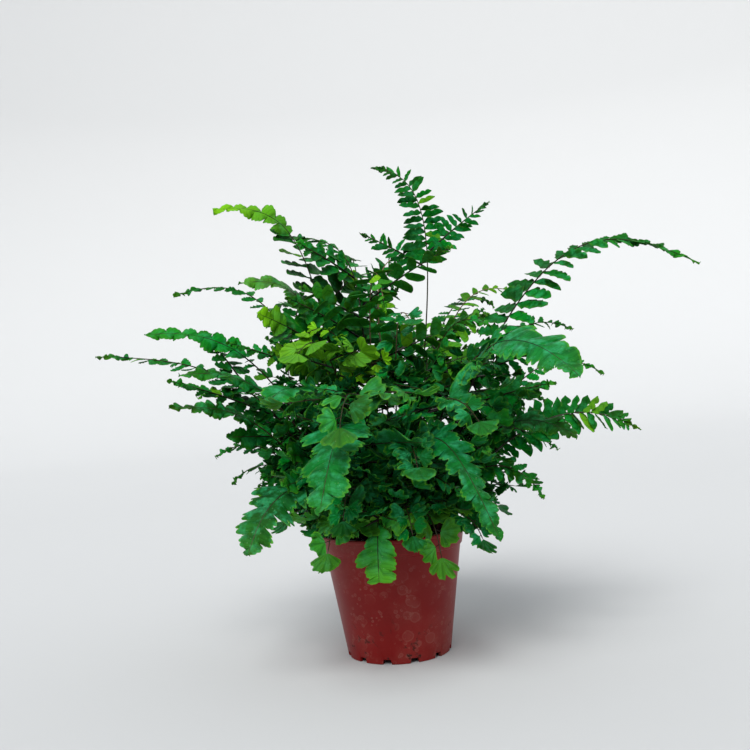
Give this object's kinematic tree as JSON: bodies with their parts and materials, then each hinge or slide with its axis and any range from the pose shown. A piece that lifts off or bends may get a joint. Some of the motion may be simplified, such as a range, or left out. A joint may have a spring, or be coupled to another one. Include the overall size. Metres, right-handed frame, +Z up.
{
  "type": "potted fern",
  "caption": "Young maidenhair-type fern with arching feathery and lobed fronds on wiry stalks, growing in a small round tapered plastic nursery pot.",
  "frame": {"origin": "centre of the pot's underside, on the pot's axis, at the height where the pot stands", "axes": "+Z up along the pot's axis, -Y towards the front of the plant, +X to its right"},
  "size_m": [0.2461, 0.1913, 0.2022],
  "materials": {
    "pot": "semi-gloss, water-stained",
    "soil": "matte, crumbly peat",
    "crown": "matte, scaly and fibrous",
    "feather_leaf": "satin leaf",
    "lobed_leaf": "satin leaf",
    "fan_leaf": "satin leaf",
    "young_leaf": "satin leaf"
  },
  "bodies": {
    "root": {"pot": "pot", "soil": "soil", "crown": "crown", "frond_right_arching": "feather_leaf", "frond_right_behind": "feather_leaf", "frond_right_light": "young_leaf", "frond_right_light_low": "young_leaf", "frond_right_inner": "feather_leaf", "frond_right_broad": "lobed_leaf", "frond_right_slender": "feather_leaf", "frond_right_feather": "feather_leaf", "frond_right_under": "lobed_leaf", "frond_right_forked": "feather_leaf", "frond_right_hanging": "feather_leaf", "frond_right_low_back": "feather_leaf", "frond_right_rim": "fan_leaf", "frond_right_rim_back": "fan_leaf", "frond_front_right_long": "lobed_leaf", "frond_front_rounded": "fan_leaf", "frond_front_palmate": "fan_leaf", "frond_front_broad": "lobed_leaf", "frond_front_left_broad": "lobed_leaf", "frond_front_over_rim": "lobed_leaf", "frond_front_rim_left": "fan_leaf", "frond_front_rim_right": "fan_leaf", "frond_front_fan_left": "fan_leaf", "frond_front_fan_middle": "fan_leaf", "frond_front_fan_right": "fan_leaf", "frond_front_dark_right": "lobed_leaf", "frond_front_middle": "fan_leaf", "frond_top_forked": "feather_leaf", "frond_centre_arching": "feather_leaf", "frond_centre_behind": "feather_leaf", "frond_centre_fans": "fan_leaf", "frond_centre_young": "young_leaf", "frond_centre_bright": "young_leaf", "frond_centre_left": "lobed_leaf", "frond_left_tall": "feather_leaf", "frond_left_upper": "young_leaf", "frond_left_inner": "feather_leaf", "frond_left_behind": "feather_leaf", "frond_left_lobed": "lobed_leaf", "frond_left_long": "feather_leaf", "frond_left_dark": "lobed_leaf", "frond_left_low": "lobed_leaf", "frond_left_narrow": "feather_leaf", "frond_left_thin": "feather_leaf", "frond_left_low_back": "feather_leaf", "frond_left_rim": "fan_leaf", "frond_left_rim_back": "fan_leaf", "frond_back_right": "feather_leaf", "frond_back_tall": "feather_leaf", "frond_back_middle": "feather_leaf", "frond_back_left": "feather_leaf", "frond_back_low_right": "lobed_leaf", "frond_back_low_middle": "lobed_leaf", "frond_back_low_left": "lobed_leaf", "frond_back_rim_right": "lobed_leaf", "frond_back_rim_left": "lobed_leaf"}
  },
  "joints": []
}
